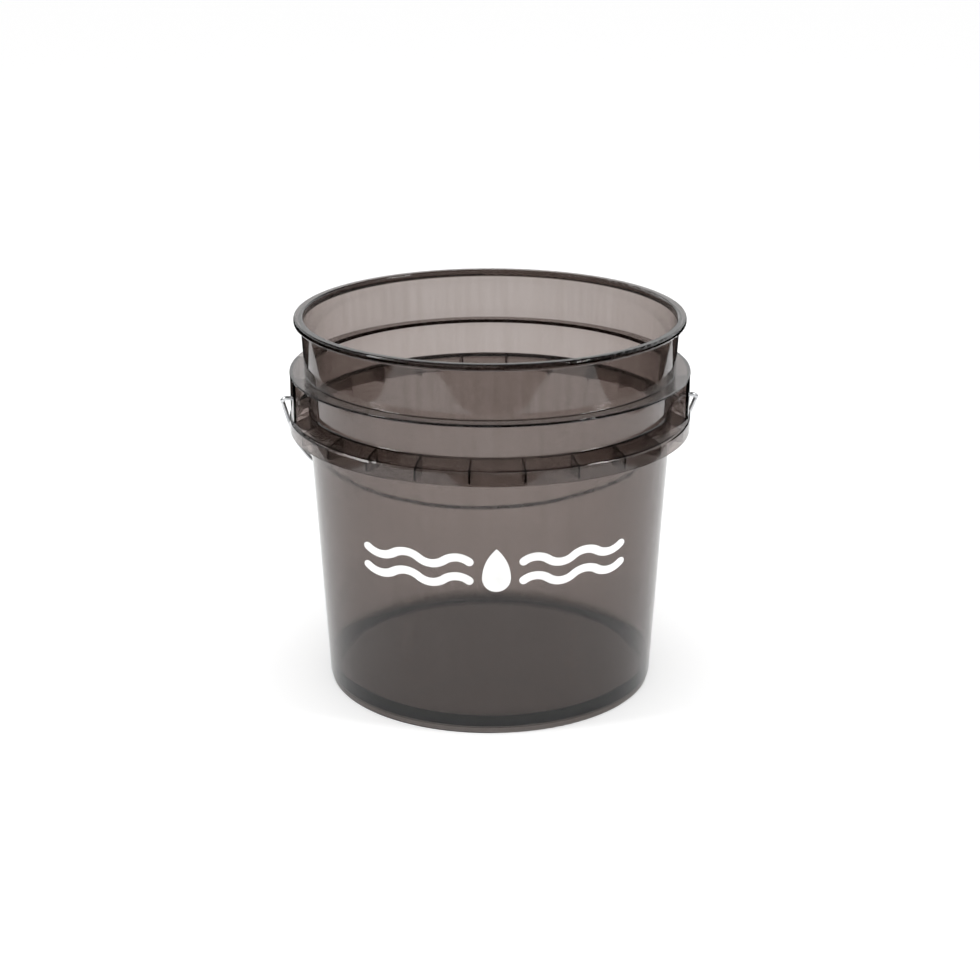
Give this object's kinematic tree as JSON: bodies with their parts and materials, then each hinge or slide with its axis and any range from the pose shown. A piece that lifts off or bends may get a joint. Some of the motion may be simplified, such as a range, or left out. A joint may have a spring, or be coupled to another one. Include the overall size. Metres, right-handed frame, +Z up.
{
  "type": "wash bucket",
  "caption": "Round clear-tinted plastic wash pail with a rolled rim, upper flange, ribbed lower hoop and a swinging wire bail, for hand washing vehicles.",
  "frame": {"origin": "centre of the foot ring, on the plane that the pail stands on", "axes": "+Z up along the pail's axis; the bail's ears lie on X; the printed mark faces -Y and the bail rests at the back, +Y"},
  "size_m": [0.3252, 0.3102, 0.294],
  "materials": {
    "smoke_plastic": "glossy, clear, smoke-tinted",
    "galvanised_wire": "bright zinc-plated drawn wire",
    "white_ink": "satin screen-printing ink"
  },
  "bodies": {
    "pail": {"pail": "smoke_plastic", "front_print": "white_ink"},
    "bail": {"bail": "galvanised_wire"}
  },
  "joints": [
    {"name": "bail_swing", "type": "hinge", "parent": "pail", "child": "bail", "pos_m": [0, 0, 0.227], "axis": [1, 0, 0], "range_deg": [0, 271.7]}
  ]
}
